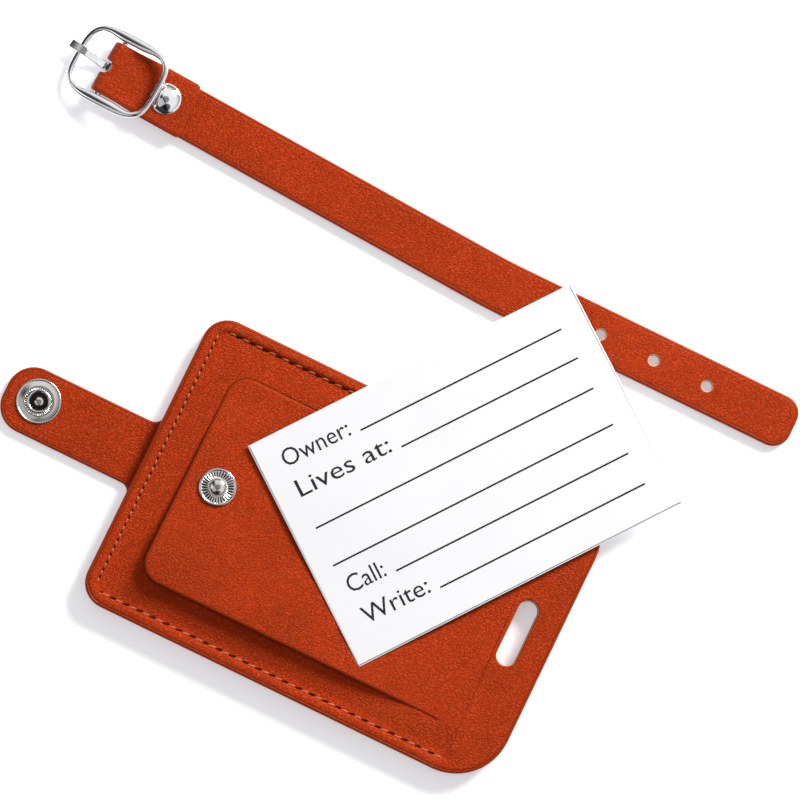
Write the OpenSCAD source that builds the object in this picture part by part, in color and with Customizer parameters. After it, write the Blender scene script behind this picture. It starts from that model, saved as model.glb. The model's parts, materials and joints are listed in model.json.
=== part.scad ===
// Luggage tag with a privacy flap, a snap closure tab, a loose address card
// and a buckled strap, laid out flat on a table.
//
// Frame: millimetres, +Z up. The origin is the centre of the tag body on its
// back face. +X points to the slot end of the body, +Y to the strap.
// The body, the closure tab and the strap rest on the table at z = 0.

/* [Tag body] */
// Length of the body, from the tab edge to the slot edge
body_l = 96.4; // [92:0.1:100]
// Width of the body
body_w = 67.6; // [64:0.1:72]
// Corner radius at the tab edge
corner_tab = 5.7; // [3:0.1:8]
// Corner radius at the slot edge
corner_slot = 12.2; // [8:0.1:14]
// Thickness of the leather back cover
back_t = 1.2; // [1:0.05:1.5]
// Thickness of the stiffening board
board_t = 0.8; // [0.6:0.05:1]
// Thickness of the pocket lining
lining_t = 0.4; // [0.3:0.05:0.6]
// Height of the card pocket
pocket_h = 0.5; // [0.4:0.05:0.8]
// Thickness of the clear window film
film_t = 0.2; // [0.15:0.05:0.3]
// Thickness of the leather front cover and of the flap cut from it
front_t = 1.2; // [1:0.05:1.5]

/* [Strap slot] */
// Distance from the body's centre to the slot
slot_x = 40; // [38:0.1:42]
// Length of the slot, across the body
slot_l = 14.9; // [12:0.1:17]
// Width of the slot
slot_w = 4.3; // [3:0.1:5]

/* [Privacy flap] */
// Distance from the body's centre to the flap's hinge line
hinge_x = 33.7; // [32:0.1:35]
// Length of the flap
flap_l = 72.1; // [70:0.1:74]
// Width of the flap
flap_w = 48.1; // [44:0.1:52]
// Corner radius at the flap's free end
flap_r = 4.6; // [3:0.1:6]
// Rest angle of the flap above the cover, in degrees
flap_tilt = 0.8; // [0.6:0.1:1]

/* [Closure tab] */
// Length of the tab beyond the body
tab_l = 33.1; // [31:0.1:36]
// Width of the tab
tab_w = 14.15; // [12:0.05:16]
// Corner radius at the tab's end
tab_r = 6; // [4:0.1:6]
// Thickness of the tab
tab_t = 1.6; // [1.4:0.05:1.7]

/* [Snap] */
// Distance from the tab's end to the snap socket
socket_inset = 7.6; // [7:0.1:8.5]
// Diameter of the snap socket
socket_d = 9.75; // [9:0.05:10.5]
// Distance from the flap's free end to the snap stud
stud_inset = 7.3; // [6:0.1:9]
// Diameter of the stud's flange
stud_d = 8.2; // [7:0.1:9]
// Diameter of the stud's ball
ball_d = 3.5; // [3.2:0.05:3.6]

/* [Stitching] */
// Distance of the stitch line from the edge
stitch_inset = 2.8; // [2.4:0.1:3.2]
// Stitch pitch
stitch_pitch = 3.18; // [2.8:0.01:3.6]

/* [Address card] */
// Length of the card
card_l = 77.5; // [74:0.1:80]
// Width of the card
card_w = 52.7; // [48:0.1:54]
// Thickness of the card
card_t = 0.3; // [0.2:0.05:0.4]
// Turn of the loose card on the tag, in degrees
card_turn = 52.75; // [50:0.05:56]

/* [Strap] */
// Width of the strap
strap_w = 11.45; // [10:0.05:12]
// Thickness of the strap
strap_t = 1.9; // [1.6:0.05:2.2]
// Distance from the first bend to the strap's tip
strap_reach = 70.5; // [68:0.1:74]
// Corner radius at the strap's tip
strap_r = 4; // [3:0.1:5]
// Radius of the buckle holes
hole_r = 1.05; // [0.9:0.05:1.3]
// Distance between the buckle holes
hole_pitch = 12.7; // [11:0.1:13]
// Slant of the strap's bending part, in degrees
strap_slant = 3.2; // [2:0.1:4]
// Length of one bending link
link_l = 18; // [17.4:0.1:18.3]

/* [Buckle] */
// Length of the buckle frame, along the strap
buckle_l = 20.2; // [19:0.1:21]
// Width of the buckle frame
buckle_w = 16.9; // [16.5:0.1:18]
// Width of the frame's end bars
bar_w = 1.2; // [1:0.1:1.3]
// Width of the frame's long sides
side_w = 1.7; // [1.4:0.1:1.8]
// Radius of the centre bar
pin_r = 0.75; // [0.7:0.01:0.8]
// Rest angle of the frame above the strap, in degrees
buckle_tilt = 10.9; // [10:0.1:12]
// Diameter of the rivet's cap
rivet_d = 6.7; // [6:0.1:7]

/* [Hidden] */
$fn = 64;
LINKS = 4;

eps = 0.01;
gap = 0.05;                       // clearance at every bending line
leather = [0.68, 0.22, 0.08];
steel = [0.8, 0.8, 0.82];

// Layers of the body, from the back face up
board_z = back_t;
lining_z = board_z + board_t;
pocket_z = lining_z + lining_t;
film_z = pocket_z + pocket_h;
front_z = film_z + film_t;
top_z = front_z + front_t;
rim_w = 3.5;                      // width of the sewn rim around the pocket
board_inset = 1.5;
kerf = 0.3;                       // width of the U-shaped cut round the flap

tab_edge = -body_l / 2;
tab_end = tab_edge - tab_l;
socket_x = tab_end + socket_inset;
stud_x = hinge_x - flap_l + stud_inset;

// Snap, with the closed heights of its parts
flange_t = 0.5;
socket_t = 0.6;
snap_gap = 0.15;
eyelet_t = 0.4;
cap_t = 0.5;
barrel_r = 2.6;
recess_r = 3;
shank_r = 1.2;
ball_h = 1.7;
lip_r = ball_h / 2;               // radius of the ball's rounded edge
stud_z = (hinge_x - stud_x) * sin(flap_tilt) + top_z;

// The tab folds at two lines, a quarter turn each, so that the socket
// lands on the stud.
fold_h = stud_z + flange_t + snap_gap + socket_t;
fold_1 = (stud_x + socket_x + fold_h) / 2;
fold_2 = fold_1 - fold_h;

card_z = 5.3;
card_pos = [15.2, 25.5];

// Strap: the hole end lies along X, the bending part runs off at a slant
bend_x = 4;
strap_y = 65.8;
first_hole = 24.4;
bend_cut = 22;                    // half angle of the notch between links
fold_cut = 46;                    // half angle of the notch at the tab folds

// Buckle end, measured from the first bending line along the slant
pin_x = -95.55;
pin_z = strap_t;
return_end = -75.9;
return_w = 12;
return_t = 1.3;
rivet_x = -82.03;
rivet_h = 1.4;
rivet_shank = 1;
curl_r = 1.5;
curl_w = 1.8;
notch_w = 2.7;
frame_mid = pin_x + 1.9;
frame_t = 1.2;
frame_rise = 1.6;
frame_arch = 0.6;
frame_r = 5.2;

// Rounded plate from x0 to x1, with corner radius r0 at x0 and r1 at x1
module plate(x0, x1, w, r0, r1) {
    for (side = [-1, 1]) {
        translate([x0 + r0, side * (w / 2 - r0)]) circle(r0);
        translate([x1 - r1, side * (w / 2 - r1)]) circle(r1);
    }
    translate([x0 + r0, -w / 2]) square([x1 - x0 - r0 - r1, w]);
    translate([x0, r0 - w / 2]) square([x1 - x0 - r1, w - 2 * r0]);
    translate([x0 + r0, r1 - w / 2]) square([x1 - x0 - r0, w - 2 * r1]);
}

module body_outline(inset = 0) {
    plate(tab_edge + inset, -tab_edge - inset, body_w - 2 * inset,
          corner_tab - inset, corner_slot - inset);
}

module slot_outline(extra = 0) {
    length = slot_l + 2 * extra;
    width = slot_w + 2 * extra;
    for (side = [-1, 1]) {
        translate([slot_x, side * (length - width) / 2]) circle(width / 2);
    }
    translate([slot_x - width / 2, (width - length) / 2]) square([width, length - width]);
}

// Flat layer of the body with the strap slot cut through it
module layer(z, t, inset = 0, slot_extra = 0) {
    translate([0, 0, z]) {
        linear_extrude(t) {
            difference() {
                body_outline(inset);
                slot_outline(slot_extra);
            }
        }
    }
}

// Strip from x0 to x1 in the XZ plane whose ends are notched on the top side
// from the middle height up, so that it can bend up at both ends
module bending_strip(x0, x1, t, w, cut0, cut1) {
    rotate([90, 0, 0]) {
        translate([0, 0, -w / 2]) {
            linear_extrude(w) {
                polygon([[x0, 0], [x1, 0], [x1, t / 2], [x1 - t / 2 * tan(cut1), t],
                         [x0 + t / 2 * tan(cut0), t], [x0, t / 2]]);
            }
        }
    }
}

module on_slant() {
    translate([bend_x, strap_y, 0]) rotate([0, 0, -strap_slant]) children();
}

// Profile in the XZ plane pushed out to width w about y = 0
module across(w) {
    rotate([90, 0, 0]) translate([0, 0, -w / 2]) linear_extrude(w) children();
}

module back_cover() {
    color(leather) {
        layer(0, back_t);
        bending_strip(fold_1 + gap, tab_edge + 1, tab_t, tab_w, fold_cut, 0);
    }
}

module stiffener_board() {
    color([0.75, 0.7, 0.6]) {
        difference() {
            layer(board_z, board_t, board_inset, 0.5);
            translate([tab_edge - 1, -tab_w / 2 - gap, 0]) cube([2.05, tab_w + 2 * gap, tab_t]);
        }
    }
}

module pocket_lining() {
    color([0.25, 0.2, 0.18]) layer(lining_z, lining_t, board_inset, 0.5);
}

module window_film() {
    color([0.8, 0.85, 0.95, 0.4]) {
        translate([0, 0, film_z]) {
            linear_extrude(film_t) {
                difference() {
                    translate([tab_edge + rim_w + gap, -body_w / 2 + rim_w + gap]) {
                        square([slot_x - slot_w - tab_edge - rim_w, body_w - 2 * rim_w - 2 * gap]);
                    }
                    slot_outline(1);
                }
            }
        }
    }
}

module front_cover() {
    color(leather) {
        difference() {
            layer(front_z, front_t);
            translate([0, 0, front_z - 1]) {
                linear_extrude(front_t + 2) {
                    plate(hinge_x - flap_l - kerf, hinge_x + 1, flap_w + 2 * kerf,
                          flap_r + kerf, 1);
                }
            }
        }
        // leather beyond the hinge line, up to the flap
        translate([hinge_x, -flap_w / 2 - kerf - 1, front_z]) cube([2, flap_w + 2 * kerf + 2, front_t]);
        // sewn rim that closes the pocket on three sides
        translate([0, 0, pocket_z]) {
            linear_extrude(front_z - pocket_z) {
                difference() {
                    body_outline();
                    translate([tab_edge + rim_w, rim_w - body_w / 2]) {
                        square([body_l, body_w - 2 * rim_w]);
                    }
                    translate([-tab_edge - corner_slot, -body_w]) square(2 * body_w);
                }
            }
        }
    }
}

// Stitches as short bars of thread that lie on the cover's face
module stitch_row(from, to, count) {
    step = (to - from) / count;
    for (i = [0 : count - 1]) {
        place = from + (i + 0.5) * step;
        turn = atan2(step[1], step[0]);
        translate([place[0], place[1], top_z]) {
            rotate([0, 0, turn]) translate([-0.37 * norm(step), -0.25, 0]) cube([0.74 * norm(step), 0.5, 0.2]);
        }
    }
}

module cover_stitches() {
    line_y = body_w / 2 - stitch_inset;
    line_x = tab_edge + stitch_inset;
    row_x0 = line_x + 2.1;
    row_x1 = hinge_x + 3.8;
    color([0.8, 0.3, 0.1]) {
        for (side = [-1, 1]) {
            stitch_row([row_x0, side * line_y], [row_x1, side * line_y],
                       round((row_x1 - row_x0) / stitch_pitch));
        }
        stitch_row([line_x, 2.1 - line_y], [line_x, line_y - 2.1],
                   round(2 * (line_y - 2.1) / stitch_pitch));
    }
}

module tab_wrap() {
    color(leather) bending_strip(fold_2 + gap, fold_1 - gap, tab_t, tab_w, fold_cut, fold_cut);
}

module tab_strap() {
    color(leather) {
        difference() {
            union() {
                bending_strip(tab_end + tab_r, fold_2 - gap, tab_t, tab_w, 0, fold_cut);
                linear_extrude(tab_t) plate(tab_end, fold_2 - 2 * tab_t, tab_w, tab_r, 1);
            }
            translate([socket_x, 0, -1]) cylinder(r = barrel_r, h = tab_t + 2);
            translate([socket_x, 0, -1]) cylinder(d = socket_d + 0.3, h = 1 + cap_t);
        }
    }
}

// Outer cap of the snap, let into the underside of the open tab
module snap_cap() {
    color(steel) translate([socket_x, 0, 0]) cylinder(d = socket_d + 0.3, h = cap_t);
}

// Socket of the snap: a ring with a barrel through the tab and, inside, a
// recess for the sprung wires
module snap_socket() {
    mouth_r = ball_d / 2 + 0.2;
    color(steel) {
        translate([socket_x, 0, 0]) {
            difference() {
                union() {
                    translate([0, 0, tab_t]) cylinder(d = socket_d, h = socket_t);
                    translate([0, 0, cap_t]) cylinder(r = barrel_r, h = tab_t - cap_t + eps);
                }
                translate([0, 0, cap_t - 1]) cylinder(r = mouth_r, h = tab_t + 2);
                translate([0, 0, tab_t + 0.1]) cylinder(r = recess_r, h = 0.35);
            }
        }
    }
}

// Two sprung wires that grip the ball inside the socket
module socket_spring() {
    color("gold") {
        for (side = [-1, 1]) {
            translate([socket_x + side * 2.15, 1.8, tab_t + 0.275]) {
                rotate([90, 0, 0]) cylinder(r = 0.15, h = 3.6);
            }
        }
    }
}

module on_flap() {
    translate([hinge_x, 0, top_z]) rotate([0, flap_tilt, 0]) children();
}

module privacy_flap() {
    color(leather) {
        on_flap() {
            difference() {
                translate([0, 0, -front_t]) {
                    linear_extrude(front_t) {
                        difference() {
                            plate(-flap_l, 1, flap_w, flap_r, 1);
                            translate([-gap, -flap_w]) square([2, 2 * flap_w]);
                        }
                    }
                }
                translate([stud_inset - flap_l, 0, -front_t - 1]) cylinder(r = shank_r, h = front_t + 2);
            }
        }
    }
}

// Stud of the snap: flange on the flap's face with a ball above it
module snap_stud() {
    color(steel) {
        on_flap() {
            translate([stud_inset - flap_l, 0, 0]) {
                cylinder(d = stud_d, h = flange_t);
                translate([0, 0, flange_t]) {
                    rotate_extrude() {
                        intersection() {
                            union() {
                                translate([ball_d / 2 - lip_r, lip_r]) circle(lip_r);
                                square([ball_d / 2 - lip_r, ball_h]);
                            }
                            translate([0, -1]) square([10, 10]);
                        }
                    }
                }
            }
        }
    }
}

// Back half of the stud, with the shank that is set through the flap
module stud_eyelet() {
    color(steel) {
        on_flap() {
            translate([stud_inset - flap_l, 0, -front_t]) {
                cylinder(r = shank_r, h = front_t);
                translate([0, 0, -eyelet_t]) cylinder(d = stud_d - 0.7, h = eyelet_t);
            }
        }
    }
}

module id_card() {
    color("white") {
        translate([card_pos[0], card_pos[1], card_z]) {
            rotate([0, 0, card_turn]) {
                translate([-card_l / 2, -card_w / 2, 0]) cube([card_l, card_w, card_t]);
            }
        }
    }
}

// Hole end of the strap, from the first bending line to the tip
module strap_tip() {
    flat_x = 3;
    color(leather) {
        difference() {
            translate([bend_x, strap_y, 0]) {
                linear_extrude(strap_t) plate(flat_x - 1.5, strap_reach, strap_w, 1, strap_r);
                bending_strip(0, flat_x, strap_t, strap_w, 0, 0);
            }
            for (i = [0 : 2]) {
                translate([bend_x + first_hole + i * hole_pitch, strap_y, -1]) {
                    cylinder(r = hole_r, h = strap_t + 2);
                }
            }
            on_slant() {
                across(3 * strap_w) {
                    polygon([[-5, -1], [gap, -1], [gap, strap_t / 2],
                             [gap + strap_t * tan(bend_cut), strap_t * 1.5],
                             [-5, strap_t * 1.5]]);
                }
            }
        }
    }
}

module strap_link(k) {
    color(leather) {
        on_slant() {
            bending_strip(-k * link_l + gap, (1 - k) * link_l - gap, strap_t, strap_w,
                          bend_cut, bend_cut);
        }
    }
}

// Buckle end of the strap: the leather wraps round the centre bar and
// returns on top, where the rivet closes the loop
module strap_buckle_end() {
    last = -LINKS * link_l;
    slope_x = pin_x + 8;
    color(leather) {
        on_slant() {
            difference() {
                union() {
                    bending_strip(return_end - 1, last - gap, strap_t, strap_w, 0, bend_cut);
                    across(return_w) {
                        translate([pin_x, pin_z]) circle(strap_t);
                        polygon([[pin_x, 0], [return_end, 0], [return_end, strap_t + return_t],
                                 [slope_x, strap_t + return_t], [pin_x, 2 * strap_t]]);
                    }
                }
                // channel for the centre bar
                across(2 * return_w) translate([pin_x, pin_z]) circle(pin_r + 0.1);
                // slot for the tongue, longer on the hidden side
                across(notch_w) {
                    translate([pin_x, pin_z]) circle(curl_r + 0.15);
                    translate([pin_x - 3, pin_z]) square([3.3, 3]);
                    translate([pin_x - 3, -1]) square([6, pin_z + 1]);
                }
                translate([rivet_x, 0, -1]) cylinder(r = rivet_shank, h = 3 * strap_t);
                translate([rivet_x, 0, -1]) cylinder(d = rivet_d - 0.7, h = 1.4);
            }
        }
    }
}

module rivet_cap() {
    ball = (pow(rivet_d / 2, 2) + pow(rivet_h, 2)) / (2 * rivet_h);
    color(steel) {
        on_slant() {
            translate([rivet_x, 0, strap_t + return_t]) {
                intersection() {
                    translate([0, 0, rivet_h - ball]) sphere(ball);
                    cylinder(d = rivet_d, h = rivet_h);
                }
            }
        }
    }
}

module rivet_post() {
    color(steel) {
        on_slant() {
            translate([rivet_x, 0, 0]) {
                cylinder(r = rivet_shank, h = strap_t + return_t);
                cylinder(d = rivet_d - 0.7, h = 0.4);
            }
        }
    }
}

// Places its children about the centre bar, at the frame's rest angle
module on_pin() {
    on_slant() translate([pin_x, 0, pin_z]) children();
}

// Arched frame, with lugs at its long sides that hold the centre bar
module buckle_frame() {
    mid = frame_mid - pin_x;
    half = buckle_l / 2;
    arch_r = half * half / (2 * frame_arch);
    color(steel) {
        on_pin() {
            rotate([0, -buckle_tilt, 0]) {
                intersection() {
                    translate([mid, 0, -5]) {
                        linear_extrude(10) {
                            difference() {
                                plate(-half, half, buckle_w, frame_r, frame_r);
                                plate(bar_w - half, half - bar_w, buckle_w - 2 * side_w,
                                      frame_r - bar_w, frame_r - bar_w);
                            }
                        }
                    }
                    across(2 * buckle_w) {
                        translate([mid, frame_rise - arch_r]) {
                            difference() {
                                circle(arch_r + frame_t / 2, $fn = 256);
                                circle(arch_r - frame_t / 2, $fn = 256);
                            }
                        }
                    }
                }
                for (side = [-1, 1]) {
                    translate([0, side * (buckle_w / 2 - side_w / 2 - 0.1), 0]) {
                        across(side_w - 0.4) {
                            difference() {
                                union() {
                                    circle(1.1);
                                    translate([-1.1, 0]) square([2.2, frame_rise]);
                                }
                                circle(pin_r);
                            }
                        }
                    }
                }
            }
        }
    }
}

module buckle_bar() {
    color(steel) on_pin() across(buckle_w - side_w) circle(pin_r);
}

// Tongue: a flat strip that curls round the bar and rests on the frame's end
module buckle_tongue() {
    strip = 0.65;
    rest_z = 0.47;
    color(steel) {
        on_pin() {
            difference() {
                union() {
                    across(curl_w) circle(curl_r);
                    across(curl_w) {
                        polygon([[-0.5, -1.3], [-1.7, -1.4], [-6.6, rest_z], [-8.1, rest_z - 0.1],
                                 [-10.2, 0], [-10.2, strip], [-8.2, rest_z - 0.1 + strip],
                                 [-6.6, rest_z + strip], [-1.5, -0.8], [-0.5, -0.95]]);
                    }
                }
                across(2 * curl_w) circle(curl_r - strip);
            }
        }
    }
}

back_cover();
stiffener_board();
pocket_lining();
window_film();
front_cover();
cover_stitches();
tab_wrap();
tab_strap();
snap_cap();
snap_socket();
socket_spring();
privacy_flap();
snap_stud();
stud_eyelet();
id_card();
strap_tip();
for (k = [1 : LINKS]) {
    strap_link(k);
}
strap_buckle_end();
rivet_cap();
rivet_post();
buckle_frame();
buckle_bar();
buckle_tongue();
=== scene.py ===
"""Looks of the luggage tag: leather covers, flap, tab and strap, snap, buckle, card and thread.

Lengths in the geometry sections are millimetres in the row's frame. mesh_piece() turns them
into metres. Every soft piece stores its rest position, so that its grain stays put as it bends.
"""

import json
import math
import random

import bmesh
import bpy
from mathutils import Matrix, Vector


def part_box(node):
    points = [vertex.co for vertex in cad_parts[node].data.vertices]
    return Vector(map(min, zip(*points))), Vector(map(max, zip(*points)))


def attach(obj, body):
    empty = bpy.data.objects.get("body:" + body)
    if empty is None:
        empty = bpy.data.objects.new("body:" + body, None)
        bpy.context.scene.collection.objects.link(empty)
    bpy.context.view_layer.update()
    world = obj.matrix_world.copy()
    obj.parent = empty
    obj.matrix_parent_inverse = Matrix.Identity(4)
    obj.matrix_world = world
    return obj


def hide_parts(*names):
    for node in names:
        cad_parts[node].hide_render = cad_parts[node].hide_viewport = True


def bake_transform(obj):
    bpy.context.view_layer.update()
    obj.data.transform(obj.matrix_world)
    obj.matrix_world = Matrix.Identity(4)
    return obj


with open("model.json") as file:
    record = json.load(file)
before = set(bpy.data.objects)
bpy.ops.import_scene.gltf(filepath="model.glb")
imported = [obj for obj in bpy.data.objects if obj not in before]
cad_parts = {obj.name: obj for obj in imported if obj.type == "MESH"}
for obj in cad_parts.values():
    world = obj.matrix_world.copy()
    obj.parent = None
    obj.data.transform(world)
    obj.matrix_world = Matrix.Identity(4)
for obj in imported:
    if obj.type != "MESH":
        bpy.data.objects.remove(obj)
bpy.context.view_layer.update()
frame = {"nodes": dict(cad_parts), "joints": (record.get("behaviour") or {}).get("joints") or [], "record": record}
joints = {joint["name"]: joint for joint in frame["joints"]}
mounts = {mount["name"]: mount for mount in frame["record"]["mounts"]}
MM = 0.001


def in_mm(point):
    return [value / MM for value in point]


def box_mm(node):
    low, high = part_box(node)
    return in_mm(low), in_mm(high)


# ---- places

COVER_LOW, COVER_HIGH = box_mm("front_cover")
TOP = COVER_HIGH[2]
RIM_FOOT = COVER_LOW[2]
BODY_X0, BODY_X1 = COVER_LOW[0], COVER_HIGH[0]
BODY_Y = COVER_HIGH[1]
COVER_T = 1.2
BACK_T = 1.2
CORNER_TAB = 5.7
CORNER_SLOT = 12.2
HINGE_X = in_mm(joints["flap_open"]["pos_m"])[0]
FLAP_X0, FLAP_Y = box_mm("privacy_flap")[0][0], box_mm("privacy_flap")[1][1]
FLAP_R = 4.6
FLAP_TILT = math.radians(0.8)
SLOT_X = in_mm(mounts["strap_slot"]["pos_m"])[0]
SLOT_HALF = (2.15, 7.45)
TAB_LOW, TAB_HIGH = box_mm("tab_strap")
TAB_T = TAB_HIGH[2]
FOLD_1 = in_mm(joints["tab_fold"]["pos_m"])[0]
FOLD_2 = in_mm(joints["tab_fold_outer"]["pos_m"])[0]
SOCKET_LOW, SOCKET_HIGH = box_mm("snap_socket")
SOCKET_X = (SOCKET_LOW[0] + SOCKET_HIGH[0]) / 2
STUD_LOW, STUD_HIGH = box_mm("snap_stud")
STUD_X = (STUD_LOW[0] + STUD_HIGH[0]) / 2 - 0.01
STRAP_T = box_mm("strap_tip")[1][2]
STRAP_Y = sum(box[1] for box in box_mm("strap_tip")) / 2
STRAP_HALF = 5.72
STRAP_TIP = box_mm("strap_tip")[1][0]
BEND_X = in_mm(joints["strap_bend_1"]["pos_m"])[0]
SLANT = math.asin(joints["strap_bend_1"]["axis"][0])
LINKS = 4
LINK_L = (Vector(joints["strap_bend_2"]["pos_m"]) - Vector(joints["strap_bend_1"]["pos_m"])).length / MM
PIN = Vector(joints["buckle_swing"]["pos_m"]) / MM
PIN_S = -(PIN.xy - Vector((BEND_X, STRAP_Y))).length
RIVET = [sum(pair) / 2 for pair in zip(*box_mm("rivet_cap"))]


# ---- node trees


class Nodes:
    """The node tree of a material or a world, with short calls for the nodes used here."""

    def __init__(self, owner, output):
        self.owner = owner
        owner.use_nodes = True
        self.tree = owner.node_tree
        self.tree.nodes.clear()
        self.output = self.node(output).inputs[0]

    def plug(self, socket, value):
        if isinstance(value, bpy.types.NodeSocket):
            self.tree.links.new(value, socket)
        elif value is not None:
            socket.default_value = value

    def node(self, kind, settings=None, **inputs):
        made = self.tree.nodes.new("ShaderNode" + kind)
        for key, value in (settings or {}).items():
            setattr(made, key, value)
        for key, value in inputs.items():
            self.plug(made.inputs[key.replace("_", " ")], value)
        return made

    def math(self, operation, a, b=0.0, c=0.0, kind="Math"):
        made = self.node(kind, {"operation": operation})
        for socket, value in zip(made.inputs, (a, b, c)):
            self.plug(socket, value)
        return made.outputs[0]

    def ramp(self, value, low, high, out_low=0.0, out_high=1.0):
        made = self.node("MapRange", {"interpolation_type": "SMOOTHSTEP"}, Value=value)
        for key, number in (("From Min", low), ("From Max", high),
                            ("To Min", out_low), ("To Max", out_high)):
            made.inputs[key].default_value = number
        return made.outputs[0]

    def mix(self, factor, a, b):
        made = self.node("Mix", {"data_type": "RGBA"})
        self.plug(made.inputs[0], factor)
        for socket, value in ((made.inputs[6], a), (made.inputs[7], b)):
            self.plug(socket, (*value, 1) if isinstance(value, tuple) else value)
        return made.outputs[2]

    def attribute(self, name, output="Fac"):
        return self.node("Attribute", {"attribute_name": name}).outputs[output]

    def place(self, vector, scale=(1, 1, 1), shift=(0, 0, 0)):
        return self.node("Mapping", Vector=vector, Scale=scale, Location=shift).outputs[0]

    def noise(self, vector, scale, detail=2.0, roughness=0.5, output=0):
        return self.node("TexNoise", Vector=vector, Scale=scale, Detail=detail,
                         Roughness=roughness).outputs[output]

    def cells(self, vector, scale):
        return self.node("TexVoronoi", {"feature": "DISTANCE_TO_EDGE"}, Vector=vector,
                         Scale=scale).outputs["Distance"]

    def bump(self, height, depth_mm, strength=1.0, normal=None):
        made = self.node("Bump", Height=height, Strength=strength, Distance=depth_mm * MM)
        self.plug(made.inputs["Normal"], normal)
        return made.outputs[0]

    def objectwise(self):
        return self.node("TexCoord").outputs["Object"]

    def surface(self, **inputs):
        self.plug(self.output, self.node("BsdfPrincipled", **inputs).outputs[0])
        return self.owner


def new_material(name):
    return Nodes(bpy.data.materials.new(name), "OutputMaterial")


def scaled(tone, factor):
    return tuple(factor * value for value in tone)


TONE = (0.44, 0.034, 0.0038)
EDGE_TONE = (0.27, 0.028, 0.0045)
RAW_TONE = (0.62, 0.33, 0.15)
NICKEL_TONE = (0.66, 0.64, 0.62)
# Painted shade for the hollows of ribbed metal
GROOVE_SHADE_TONE = (0.050, 0.034, 0.026)


def leather(name, grain, turn, shift):
    """Pebbled leather: wrinkles drawn out roughly along X and soft tone changes. An edge value
    up to 1 is the smooth painted edge, and from 1.3 to 1.9 it turns into the raw rim."""
    s = new_material(name)
    rest = s.place(s.attribute("rest", "Vector"), shift=(shift, shift, 0))
    drawn = s.node("Mapping", Vector=rest, Rotation=(0, 0, math.radians(-turn)),
                   Scale=(0.36, 1.0, 1.0)).outputs[0]
    edge = s.attribute("edge")
    sway = s.math("MULTIPLY_ADD", s.noise(drawn, 1.3, 3.0, 0.6, output=1), (0.55, 0.55, 0.55), drawn,
                  "VectorMath")
    pebbles = s.ramp(s.cells(sway, 1 / grain), 0.0, 0.22)
    small = s.ramp(s.cells(sway, 2.1 / grain), 0.0, 0.2)
    pores = s.noise(drawn, 5.0, 2.0, 0.6)
    height = s.math("ADD", s.math("MULTIPLY", pebbles, 0.75), s.math("MULTIPLY", small, 0.16))
    height = s.math("MULTIPLY_ADD", pores, 0.12, height)
    height = s.math("MULTIPLY", height, s.ramp(edge, 0.0, 0.8, 1.0, 0.1))
    broad = s.noise(rest, 0.09, 3.0, 0.55)
    swell = s.noise(rest, 0.32, 2.0, 0.5)
    colour = s.mix(s.ramp(broad, 0.32, 0.68), scaled(TONE, 0.90), scaled(TONE, 1.08))
    # Painted shade: the grain's hollows are darkened towards a deep tone
    colour = s.mix(s.ramp(height, 0.1, 0.85, 0.6, 0.0), colour, scaled(TONE, 0.36))
    colour = s.mix(s.ramp(edge, 0.0, 1.0, 0.0, 0.85), colour, EDGE_TONE)
    colour = s.mix(s.ramp(edge, 1.3, 1.9), colour, RAW_TONE)
    rough = s.math("ADD", s.ramp(swell, 0.3, 0.7, 0.37, 0.45), s.ramp(edge, 0.0, 1.0, 0.0, -0.06))
    normal = s.bump(swell, 0.10, 0.3, s.bump(height, 0.15, 1.0))
    return s.surface(Base_Color=colour, Roughness=rough, Specular_IOR_Level=0.42,
                     Specular_Tint=(1.0, 0.30, 0.13, 1), Normal=normal)


def polished(name, tone, roughness, scratch=0.02, grooves=False):
    """Plated metal with faint handling marks, and painted shade in its grooves where asked for."""
    s = new_material(name)
    place = s.objectwise()
    marks = s.noise(s.place(place, (900, 2600, 900)), 1.0, 3.0, 0.7)
    smear = s.noise(place, 260.0, 2.0)
    rough = s.math("MULTIPLY_ADD", smear, scratch, roughness)
    colour = s.mix(s.ramp(smear, 0.3, 0.7), tone, scaled(tone, 0.93))
    if grooves:
        # Painted shade: hollows marked by the edge value are darkened towards a near-black tone
        colour = s.mix(s.ramp(s.attribute("edge"), 0.15, 0.75), colour, GROOVE_SHADE_TONE)
    return s.surface(Base_Color=colour, Metallic=1.0, Roughness=rough,
                     Normal=s.bump(marks, 0.004, 0.25))


def thread_material():
    s = new_material("waxed_thread")
    rest = s.attribute("rest", "Vector")
    turns = s.node("TexWave", {"bands_direction": "DIAGONAL"}, Vector=rest, Scale=1.5,
                   Distortion=0.6).outputs[1]
    # Painted light and shade: the twists' crowns are lighter and the hollows between them darker
    colour = s.mix(turns, (0.24, 0.028, 0.003), (0.50, 0.10, 0.012))
    return s.surface(Base_Color=colour, Roughness=0.55, Normal=s.bump(turns, 0.05, 0.7))


# Painted shade: near-black colour for the marks that stand in for the needle holes' shade
def needle_shade_material():
    s = new_material("needle_hole_shade")
    rest = s.attribute("rest", "Vector")
    colour = s.mix(s.noise(rest, 3.0), (0.015, 0.003, 0.001), (0.05, 0.009, 0.002))
    return s.surface(Base_Color=colour, Roughness=0.9, Specular_IOR_Level=0.05)


def card_material():
    s = new_material("card_stock")
    place = s.objectwise()
    fibre = s.noise(place, 2600.0, 3.0, 0.6)
    cloud = s.noise(place, 60.0, 2.0)
    colour = s.mix(s.ramp(cloud, 0.3, 0.7), (0.70, 0.70, 0.715), (0.72, 0.72, 0.735))
    return s.surface(Base_Color=colour, Roughness=s.ramp(fibre, 0.3, 0.7, 0.5, 0.6),
                     Normal=s.bump(fibre, 0.006, 0.3))


def ink_material():
    s = new_material("black_ink")
    place = s.objectwise()
    colour = s.mix(s.noise(place, 3000.0, 2.0), (0.012, 0.012, 0.013), (0.03, 0.03, 0.032))
    return s.surface(Base_Color=colour, Roughness=0.7, Specular_IOR_Level=0.1)


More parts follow.
